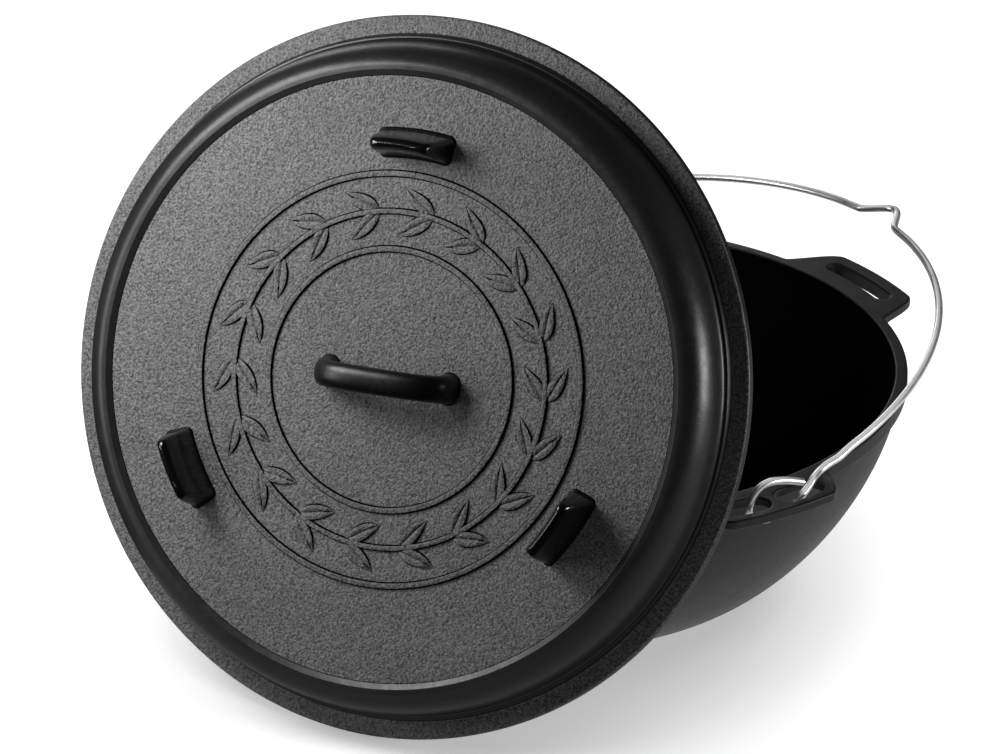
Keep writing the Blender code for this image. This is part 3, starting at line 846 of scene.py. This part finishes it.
def leaf_mesh(relief):
    """A pointed leaf that starts on the ring: raised edge, sunk along the middle vein."""
    long_, half, rise = relief.leaf_length, relief.leaf_width / 2.0, relief.rise
    stations, across = 14, (-1.0, -0.80, -0.50, -0.14, 0.0, 0.14, 0.50, 0.80, 1.0)
    levels = (-0.2, 0.8, 1.0, 0.86, 0.42, 0.86, 1.0, 0.8, -0.2)
    bm = bmesh.new()
    rows = []
    for i in range(stations + 1):
        t = i / stations
        width = half * math.sin(math.pi * t ** 0.8) ** 0.8 if 0 < i < stations else half * 0.02
        fade = min(1.0, 6.0 * t, 5.0 * (1.0 - t)) if 0 < i < stations else 0.0
        sweep = 0.10 * long_ * math.sin(math.pi * t * 0.5) ** 2
        rows.append([bm.verts.new((0.0015 + long_ * t, sweep + width * a,
                                   rise * (level * max(fade, 0.35) if level > 0 else level)))
                     for a, level in zip(across, levels)])
    for low, high in zip(rows, rows[1:]):
        for j in range(len(across) - 1):
            bm.faces.new((low[j], high[j], high[j + 1], low[j + 1]))
    bm.faces.new([row[0] for row in rows] + [row[-1] for row in rows[::-1]])
    bm.faces.new(rows[0])
    bm.faces.new(rows[-1][::-1])
    return weld(finished(bm, "leaf"), 1e-7)


def ridge_profile(radius, width, rise):
    """A low raised line with steep sides, as a closed profile for turning."""
    half, side, sunk = width / 2.0, 0.0008, 0.0002
    slope = [(half + side, -sunk), (half, rise * 0.94), (half * 0.8, rise)]
    ring = [(radius - x, z) for x, z in slope] + [(radius + x, z) for x, z in slope[::-1]]
    return ring + ring[:1]


def paint_side_shade(mesh, finish):
    """Painted shade: black on the relief's steep sides, as shadow along the raised edges."""
    paint(mesh, finish["grained iron"], finish["painted shade black"])
    for face in mesh.polygons:
        # Painted shade: steep faces take the black
        face.material_index = int(face.normal.z < 0.62)


def make_relief(lid, relief, finish):
    place = disc_place(lid)
    leaves = new_object("lid_leaf_ring", leaf_mesh(relief))
    run_tree(leaves, garland_tree(), {
        "Pairs": relief.pairs, "Radius": relief.ring_radius, "Lean": relief.lean,
        "Material": finish["grained iron"]})
    leaves.data.shade_smooth()
    leaves.data.set_sharp_from_angle(angle=math.radians(40.0))
    paint_side_shade(leaves.data, finish)
    leaves.data.transform(place)
    pieces = [leaves]
    lines = (("inner", -relief.border, 1.0), ("stem", 0.0, 0.9), ("outer", relief.border, 1.0))
    for name, offset, part in lines:
        profile = ridge_profile(relief.ring_radius + offset, relief.line_width * part, relief.rise)
        line = turned_piece("lid_line_" + name, profile, 180, finish["grained iron"])
        line.data.set_sharp_from_angle(angle=math.radians(45.0))
        paint_side_shade(line.data, finish)
        line.data.transform(place)
        pieces.append(line)
    return pieces


# ---- Bail ----

def smooth_path(points, per_span):
    """A smooth path through given points (Catmull-Rom)."""
    padded = [points[0] * 2 - points[1], *points, points[-1] * 2 - points[-2]]
    path = []
    for a, b, c, d in zip(padded, padded[1:], padded[2:], padded[3:]):
        for i in range(per_span):
            t = i / per_span
            path.append(0.5 * (2 * b + (c - a) * t + (2 * a - 5 * b + 4 * c - d) * t * t
                               + (3 * b - a - 3 * c + d) * t ** 3))
    path.append(points[-1])
    return path


# The eye from its cut end over the web, down the left slot, under the web and up the right slot,
# in shares of the half length along the rim and of the half height
EYE_SHAPE = ((1.33, 0.32), (1.02, 0.53), (0.57, 0.79), (0.07, 0.98), (-0.34, 0.98), (-0.70, 0.78),
             (-0.94, 0.43), (-1.00, 0.04), (-0.80, -0.29), (-0.35, -0.48), (0.14, -0.52), (0.59, -0.50),
             (0.94, -0.38), (1.24, -0.20))
# The folded wire from the eye to the arch: it lies on the lug just past the slot's end. In shares of the
# slot's end, the bail's inset and the height at which the wire lies on the lug
LEAD_SHAPE = ((0.765, 0.36, 0.57), (0.925, 0.75, 1.00), (1.13, 1.30, 1.14), (1.33, 1.53, 1.49),
              (1.57, 1.67, 1.78))
ARCH_START = 1.88  # in shares of the slot's end


def bail_path(bail, pot):
    """The wire's centre line in the bail's own plane: x is the distance from the hinge axis."""
    slot_end = pot.web_width / 2.0 + pot.bail_slot_length
    slot_radius = pot.rim_radius + pot.slot_from_rim
    half = [Vector((x * bail.eye_half_length, slot_radius, z * bail.eye_half_height)) for x, z in EYE_SHAPE]
    rest = pot.lug_thickness / 2.0 + bail.wire / 2.0 + bail.rest_gap
    for x, y, z in LEAD_SHAPE:
        spot = Matrix.Rotation(-bail.fold, 2) @ Vector((x * slot_end, z * rest))
        half.append(Vector((spot.x, slot_radius - y * (slot_radius - bail.half_width), spot.y)))
    arch_start = math.asin(slot_end * ARCH_START / bail.reach)
    bump_start = math.acos(bail.bump_half_width / bail.half_width)
    angles = [arch_start + (bump_start - arch_start) * i / 14 for i in range(14)]
    angles += [bump_start + (QUARTER - bump_start) * i / 5 for i in range(6)]
    for angle in angles:
        side = bail.half_width * math.cos(angle)
        near = min(side / bail.bump_half_width, 1.0)
        bump = bail.bump_height * math.cos(math.pi * near / 2.0) ** 2
        half.append(Vector((bail.reach * math.sin(angle) + bump, side, 0.0)))
    return half + [Vector((point.x, -point.y, point.z)) for point in reversed(half[:-1])]


def make_bail(bail, pot, finish):
    place = Matrix.Translation(Vector(JOINTS["bail"]["pos_m"])) @ Matrix.Rotation(-bail.fold, 4, "Y")
    path = smooth_path([place @ point for point in bail_path(bail, pot)], 8)
    wire = run_tree(path_piece("bail_wire", path), wire_tree(),
                    {"Radius": bail.wire / 2.0, "Sides": 28, "Material": finish["drawn steel"]})
    weld(wire.data)
    wire.data.set_sharp_from_angle(angle=math.radians(50.0))
    return wire


# ---- Studio ----

def from_camera(stage, right, away, up):
    """A point given as the camera sees the floor, turned into the model's own axes."""
    return Matrix.Rotation(stage.turn, 3, "Z") @ Vector((right, away, up))


def soft_box(name, stage, place, target, size, power):
    light = bpy.data.lights.new(name, "AREA")
    light.shape = "RECTANGLE"
    light.size, light.size_y = size
    light.energy = power
    lamp = new_object(name, light)
    lamp.location = from_camera(stage, *place)
    aim = from_camera(stage, *target) - lamp.location
    lamp.rotation_mode = "QUATERNION"
    lamp.rotation_quaternion = aim.to_track_quat("-Z", "Y")
    lamp.visible_camera = False
    return lamp


def take_light(piece, lamp_name):
    """Adds a piece to those that alone take this lamp's light, if there is such a lamp."""
    group = bpy.data.collections.get("lit by the " + lamp_name)
    if group:
        group.objects.link(piece)


WHITE = (1.0, 1.0, 1.0, 1.0)
LID_FRONT = (-0.088, -0.143, 0.182)
POT_MIDDLE = (0.0, 0.0, 0.15)
# Name, place, aim, size, watts, and whether it lights chosen pieces alone. Places are right, away and up
LAMPS = (
    ("key light", (-0.912, -0.313, 0.308), LID_FRONT, (0.30, 0.30), 1.25, False),
    ("near key light", (-0.428, -0.195, 0.472), LID_FRONT, (0.22, 0.22), 1.68, False),
    ("right light", (1.235, -0.330, 0.286), POT_MIDDLE, (0.42, 0.34), 6.4, False),
    ("back light", (-0.3, 1.8, 0.6), (0.0, 0.0, 0.12), (0.9, 0.9), 5.0, False),
    ("floor light", (0.7, 0.1, 2.2), (0.0, 0.0, 0.0), (2.6, 2.6), 64.0, True),
    ("wire card", (0.3, 0.2, 1.5), (0.1, 0.0, 0.1), (2.4, 2.4), 11.0, True),
    ("floor bounce", (0.0, 0.0, 0.002), (0.0, 0.0, 1.0), (2.6, 2.6), 12.0, True),
    ("lid bounce", (0.0, -0.6, 0.002), (0.0, -0.6, 1.0), (2.2, 1.2), 2.0, True),
)


def make_stage(stage, looks):
    tree, surface, where = shader("studio floor", looks.floor, 0.9)
    tree.feed(surface, "Roughness", noise(tree, where, 0.4, 1.0))
    tree.feed(surface, "Emission Color", WHITE)
    tree.feed(surface, "Emission Strength", 0.38)
    bm = bmesh.new()
    bmesh.ops.create_circle(bm, cap_ends=True, radius=12.0, segments=96)
    floor = new_object("studio_floor", finished(bm, "studio_floor"), bpy.data.materials["studio floor"])
    floor.visible_diffuse = False
    floor.visible_glossy = False

    world = bpy.data.worlds.new("studio")
    bpy.context.scene.world = world
    world.use_nodes = True
    world.node_tree.nodes.clear()
    tree = Tree(world.node_tree)
    seen = tree.add("ShaderNodeLightPath").outputs["Is Camera Ray"]
    dim, bright = [tree.add("ShaderNodeBackground", {"Color": WHITE, "Strength": strength})
                   for strength in (0.015, 1.0)]
    mixed = tree.add("ShaderNodeMixShader", {0: seen, 1: dim, 2: bright})
    tree.add("ShaderNodeOutputWorld", {"Surface": mixed})

    for name, place, target, size, power, chosen in LAMPS:
        lamp = soft_box(name, stage, place, target, size, power)
        if chosen:
            lamp.light_linking.receiver_collection = bpy.data.collections.new("lit by the " + name)
    take_light(floor, "floor light")

    camera = bpy.data.cameras.new("camera")
    camera.lens = stage.lens
    camera.shift_x, camera.shift_y = stage.shift_x, stage.shift_y
    camera.clip_start, camera.clip_end = 0.1, 60.0
    eye = new_object("camera", camera)
    eye.location = from_camera(stage, stage.side, -stage.distance, stage.height)
    eye.rotation_euler = (QUARTER - stage.pitch, 0.0, stage.turn)
    bpy.context.scene.camera = eye
    bpy.context.scene.view_settings.view_transform = "Standard"


# ---- Operators ----

class CAULDRON_OT_stage(Operator):
    """Lay the studio floor, set the lights and place the camera"""
    bl_idname = "cauldron.stage"
    bl_label = "Studio"

    def execute(self, context):
        make_stage(context.scene.cauldron_stage, context.scene.cauldron_finish)
        return {"FINISHED"}


class CAULDRON_OT_pot(Operator):
    """Turn the bowl and cast its four lugs on"""
    bl_idname = "cauldron.pot"
    bl_label = "Pot"

    def execute(self, context):
        piece = make_pot(context.scene.cauldron_pot, finish_materials())
        take_light(piece, "floor bounce")
        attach(piece, "pot")
        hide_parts("pot")
        return {"FINISHED"}


class CAULDRON_OT_lid(Operator):
    """Turn the lid's flange, shoulder and disc"""
    bl_idname = "cauldron.lid"
    bl_label = "Lid"

    def execute(self, context):
        piece = make_lid(context.scene.cauldron_lid, finish_materials())
        take_light(piece, "lid bounce")
        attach(piece, "lid")
        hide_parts("lid")
        return {"FINISHED"}


class CAULDRON_OT_grips(Operator):
    """Cast the bow handle and the three feet on the disc"""
    bl_idname = "cauldron.grips"
    bl_label = "Handle and feet"

    def execute(self, context):
        scene = context.scene
        for piece in make_grips(scene.cauldron_lid, scene.cauldron_grips, finish_materials()):
            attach(piece, "lid")
        return {"FINISHED"}


class CAULDRON_OT_relief(Operator):
    """Raise the ring of leaves and its lines on the disc"""
    bl_idname = "cauldron.relief"
    bl_label = "Relief"

    def execute(self, context):
        scene = context.scene
        for piece in make_relief(scene.cauldron_lid, scene.cauldron_relief, finish_materials()):
            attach(piece, "lid")
        return {"FINISHED"}


class CAULDRON_OT_bail(Operator):
    """Bend the wire bail and hang its eyes in the lugs"""
    bl_idname = "cauldron.bail"
    bl_label = "Bail"

    def execute(self, context):
        scene = context.scene
        piece = make_bail(scene.cauldron_bail, scene.cauldron_pot, finish_materials())
        take_light(piece, "floor bounce")
        take_light(piece, "wire card")
        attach(piece, "bail")
        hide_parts("bail")
        return {"FINISHED"}


OPERATORS = (CAULDRON_OT_stage, CAULDRON_OT_pot, CAULDRON_OT_lid, CAULDRON_OT_grips, CAULDRON_OT_relief,
             CAULDRON_OT_bail)


class CAULDRON_PT_sidebar(Panel):
    """Lists the cauldron's pieces and their sizes"""
    bl_idname = "CAULDRON_PT_sidebar"
    bl_label = "Camp cauldron"
    bl_space_type = "VIEW_3D"
    bl_region_type = "UI"
    bl_category = "Cauldron"

    def draw(self, context):
        for operator in OPERATORS:
            self.layout.operator(operator.bl_idname, text=operator.bl_label)
        for name in GROUPS:
            group = getattr(context.scene, name)
            box = self.layout.box()
            for key in type(group).__annotations__:
                box.prop(group, key)


def register():
    for item in (*GROUPS.values(), *OPERATORS, CAULDRON_PT_sidebar):
        bpy.utils.register_class(item)
    for name, group in GROUPS.items():
        setattr(bpy.types.Scene, name, PointerProperty(type=group))


def unregister():
    for name in GROUPS:
        delattr(bpy.types.Scene, name)
    for item in (CAULDRON_PT_sidebar, *reversed(OPERATORS), *reversed(GROUPS.values())):
        bpy.utils.unregister_class(item)


def main():
    register()
    bpy.ops.cauldron.stage()
    bpy.ops.cauldron.pot()
    bpy.ops.cauldron.lid()
    bpy.ops.cauldron.grips()
    bpy.ops.cauldron.relief()
    bpy.ops.cauldron.bail()
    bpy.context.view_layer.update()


if __name__ == "__main__":
    main()
